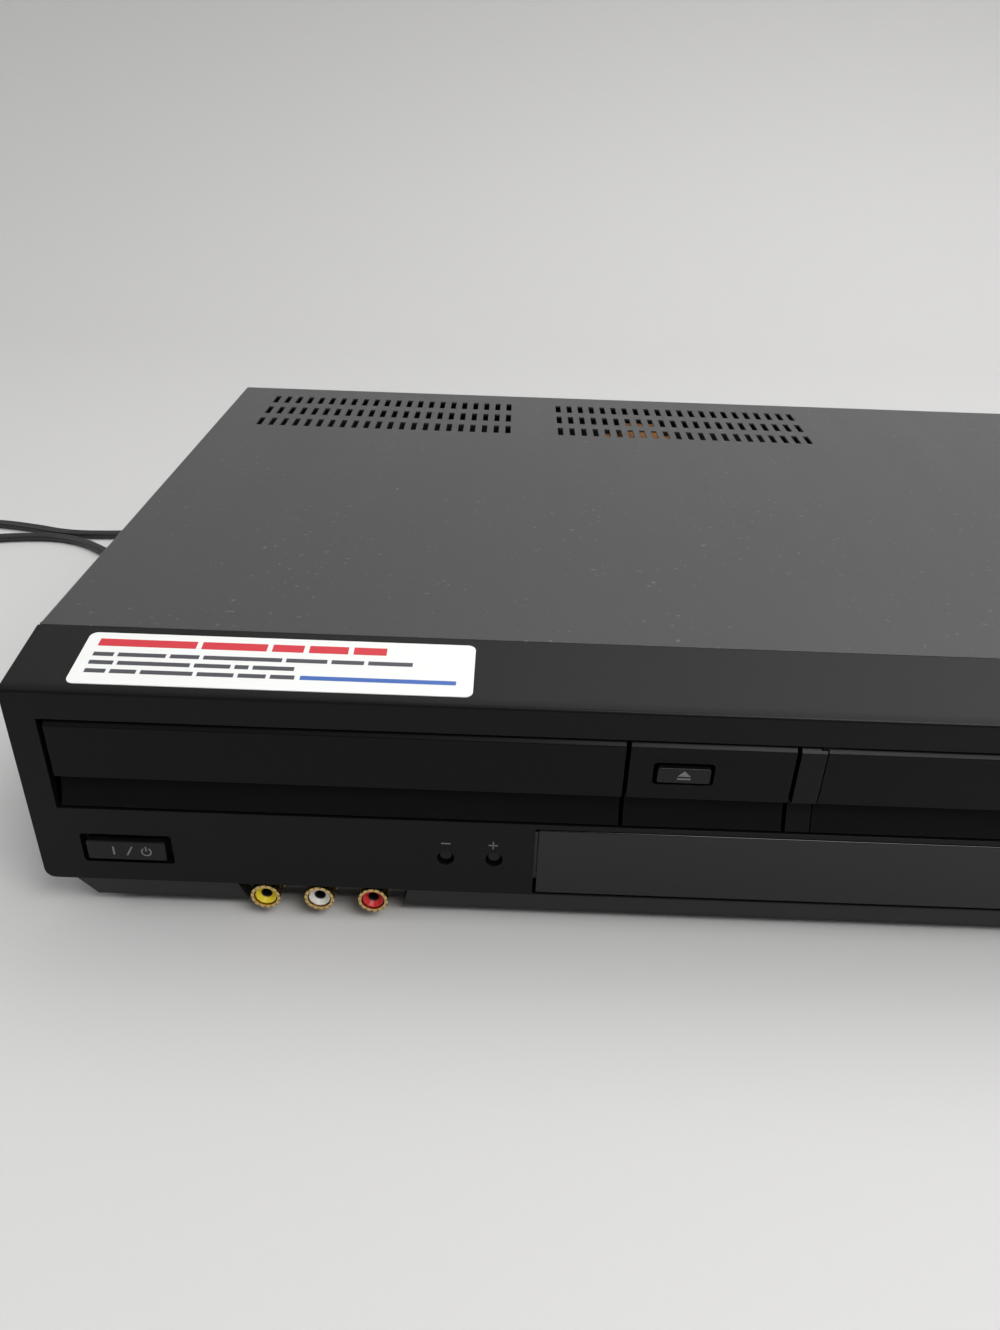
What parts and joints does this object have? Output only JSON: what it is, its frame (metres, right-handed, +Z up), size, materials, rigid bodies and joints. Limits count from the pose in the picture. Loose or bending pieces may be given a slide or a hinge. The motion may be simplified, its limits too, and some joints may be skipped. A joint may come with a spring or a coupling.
{
  "type": "dvd vcr combo player",
  "caption": "Low black box with a disc tray and a cassette door side by side, a display window, buttons, front jacks, vented cover and a coiled mains cord.",
  "frame": {"origin": "on the table under the middle of the player, measured without its cord", "axes": "+X to the player's right as seen from the front, -Y towards the viewer in front, +Z up"},
  "size_m": [0.6238, 0.3695, 0.078],
  "materials": {
    "cover_paint": "satin dark grey paint",
    "black_plastic": "satin black",
    "dark_plastic": "matte dark grey",
    "steel": "plain zinc-plated sheet",
    "screw_steel": "blackened",
    "polished_steel": "polished",
    "drum_alloy": "finely turned",
    "gold_plate": "thin gold plating",
    "smoked_window": "glossy smoked acrylic",
    "sticker_paper": "printed white film",
    "yellow_plastic": "yellow",
    "white_plastic": "white",
    "red_plastic": "red",
    "circuit_board": "green lacquer",
    "power_board": "brown phenolic board",
    "transformer_tape": "orange winding tape",
    "grey_plastic": "grey",
    "rubber": "black rubber"
  },
  "bodies": {
    "player": {"top_cover": "cover_paint", "rear_panel": "cover_paint", "front_bezel": "black_plastic", "centre_panel": "black_plastic", "rear_jack_block": "black_plastic", "loader_frame": "dark_plastic", "chassis_pan": "steel", "clamp_bridge": "steel", "loading_motor": "steel", "deck_plate": "steel", "cassette_frame": "steel", "cover_screw_left": "screw_steel", "cover_screw_right": "screw_steel", "lower_drum": "drum_alloy", "front_jack_shells": "gold_plate", "display_window": "smoked_window", "sticker": "sticker_paper", "jack_insert_yellow": "yellow_plastic", "jack_insert_white": "white_plastic", "jack_insert_red": "red_plastic", "main_board": "circuit_board", "front_board": "circuit_board", "power_board": "power_board", "transformer": "transformer_tape", "foot_front_left": "rubber", "foot_front_right": "rubber", "foot_rear_left": "rubber", "foot_rear_right": "rubber", "cord_gland": "rubber", "cord_run": "rubber", "cord_coil": "rubber", "power_plug": "rubber"},
    "tray": {"disc_tray": "dark_plastic", "tray_front": "black_plastic"},
    "tray_gear": {"drive_gear": "white_plastic"},
    "motor_gear": {"motor_pinion": "white_plastic"},
    "traverse": {"traverse_frame": "steel", "spindle_motor": "steel", "guide_rod": "polished_steel"},
    "spindle_table": {"turntable": "grey_plastic"},
    "pickup": {"pickup_sled": "dark_plastic"},
    "puck": {"clamp_puck": "grey_plastic"},
    "cassette_door": {"vcr_door": "black_plastic"},
    "carriage": {"cassette_carriage": "grey_plastic"},
    "holder": {"cassette_holder": "steel"},
    "head_drum": {"upper_drum": "drum_alloy"},
    "capstan": {"capstan_flywheel": "polished_steel"},
    "pinch": {"pinch_arm": "rubber"},
    "supply_reel": {"supply_reel_table": "grey_plastic"},
    "takeup_reel": {"takeup_reel_table": "grey_plastic"},
    "guide_left": {"guide_base_left": "dark_plastic"},
    "guide_right": {"guide_base_right": "dark_plastic"},
    "power_key": {"power_button": "dark_plastic"},
    "open_close_key": {"open_close_button": "dark_plastic"},
    "tracking_minus_key": {"tracking_minus_button": "dark_plastic"},
    "tracking_plus_key": {"tracking_plus_button": "dark_plastic"},
    "rewind_key": {"rewind_button": "dark_plastic"},
    "play_key": {"play_button": "dark_plastic"},
    "fast_forward_key": {"fast_forward_button": "dark_plastic"},
    "stop_eject_key": {"stop_eject_button": "dark_plastic"}
  },
  "joints": [
    {"name": "tray_slide", "type": "slide", "parent": "player", "child": "tray", "axis": [0, -1, 0], "range_m": [0, 0.135]},
    {"name": "tray_gear_turn", "type": "hinge", "parent": "player", "child": "tray_gear", "pos_m": [-0.18127, -0.10165, 0.0363], "axis": [0, 0, -1], "range_deg": [0, 860]},
    {"name": "motor_gear_turn", "type": "hinge", "parent": "player", "child": "motor_gear", "pos_m": [-0.18127, -0.08815, 0.0363], "axis": [0, 0, 1], "range_deg": [0, 1720]},
    {"name": "traverse_tilt", "type": "hinge", "parent": "player", "child": "traverse", "pos_m": [-0.13228, 0.03635, 0.037], "axis": [1, 0, 0], "range_deg": [0, 3.5]},
    {"name": "spindle_turn", "type": "hinge", "parent": "traverse", "child": "spindle_table", "pos_m": [-0.13228, -0.05565, 0.0456], "axis": [0, 0, 1], "continuous": true},
    {"name": "pickup_slide", "type": "slide", "parent": "traverse", "child": "pickup", "axis": [0, 1, 0], "range_m": [0, 0.034]},
    {"name": "puck_turn", "type": "hinge", "parent": "player", "child": "puck", "pos_m": [-0.13228, -0.05565, 0.052], "axis": [0, 0, 1], "continuous": true},
    {"name": "cassette_door_swing", "type": "hinge", "parent": "player", "child": "cassette_door", "pos_m": [0.09565, -0.13215, 0.0645], "axis": [1, 0, 0], "range_deg": [0, 88], "stiffness_Nm_per_rad": 0.004, "springref_deg": -28.65},
    {"name": "carriage_slide", "type": "slide", "parent": "player", "child": "carriage", "axis": [0, 1, 0], "range_m": [0, 0.056]},
    {"name": "holder_lower", "type": "slide", "parent": "carriage", "child": "holder", "axis": [0, 0, -1], "range_m": [0, 0.014]},
    {"name": "head_drum_turn", "type": "hinge", "parent": "player", "child": "head_drum", "pos_m": [0.09565, 0.06236, 0.023], "axis": [0, 0.104, 0.9946], "continuous": true},
    {"name": "capstan_turn", "type": "hinge", "parent": "player", "child": "capstan", "pos_m": [0.14965, 0.01844, 0.0172], "axis": [0, 0, 1], "continuous": true},
    {"name": "pinch_swing", "type": "hinge", "parent": "player", "child": "pinch", "pos_m": [0.17565, 0.02644, 0.0252], "axis": [0, 0, 1], "range_deg": [0, 35]},
    {"name": "supply_reel_turn", "type": "hinge", "parent": "player", "child": "supply_reel", "pos_m": [0.04965, -0.04219, 0.019], "axis": [0, 0, 1], "continuous": true},
    {"name": "takeup_reel_turn", "type": "hinge", "parent": "player", "child": "takeup_reel", "pos_m": [0.14165, -0.04219, 0.019], "axis": [0, 0, 1], "continuous": true},
    {"name": "guide_left_slide", "type": "slide", "parent": "player", "child": "guide_left", "axis": [-0.2516, 0.9678, 0], "range_m": [0, 0.05167]},
    {"name": "guide_right_slide", "type": "slide", "parent": "player", "child": "guide_right", "axis": [0.2516, 0.9678, 0], "range_m": [0, 0.05167]},
    {"name": "power_press", "type": "slide", "parent": "player", "child": "power_key", "axis": [0, 1, 0], "range_m": [0, 0.0008], "stiffness_N_per_m": 1000},
    {"name": "open_close_press", "type": "slide", "parent": "player", "child": "open_close_key", "axis": [0, 1, 0], "range_m": [0, 0.0008], "stiffness_N_per_m": 1000},
    {"name": "tracking_minus_press", "type": "slide", "parent": "player", "child": "tracking_minus_key", "axis": [0, 1, 0], "range_m": [0, 0.0008], "stiffness_N_per_m": 1000},
    {"name": "tracking_plus_press", "type": "slide", "parent": "player", "child": "tracking_plus_key", "axis": [0, 1, 0], "range_m": [0, 0.0008], "stiffness_N_per_m": 1000},
    {"name": "rewind_press", "type": "slide", "parent": "player", "child": "rewind_key", "axis": [0, 1, 0], "range_m": [0, 0.0008], "stiffness_N_per_m": 1000},
    {"name": "play_press", "type": "slide", "parent": "player", "child": "play_key", "axis": [0, 1, 0], "range_m": [0, 0.0008], "stiffness_N_per_m": 1000},
    {"name": "fast_forward_press", "type": "slide", "parent": "player", "child": "fast_forward_key", "axis": [0, 1, 0], "range_m": [0, 0.0008], "stiffness_N_per_m": 1000},
    {"name": "stop_eject_press", "type": "slide", "parent": "player", "child": "stop_eject_key", "axis": [0, 1, 0], "range_m": [0, 0.0008], "stiffness_N_per_m": 1000}
  ],
  "couplings": [
    {"joint": "tray_gear_turn", "follows": "tray_slide", "rad_per_m": 111.11},
    {"joint": "motor_gear_turn", "follows": "tray_slide", "rad_per_m": 222.22},
    {"joint": "guide_right_slide", "follows": "guide_left_slide", "ratio": 1}
  ]
}
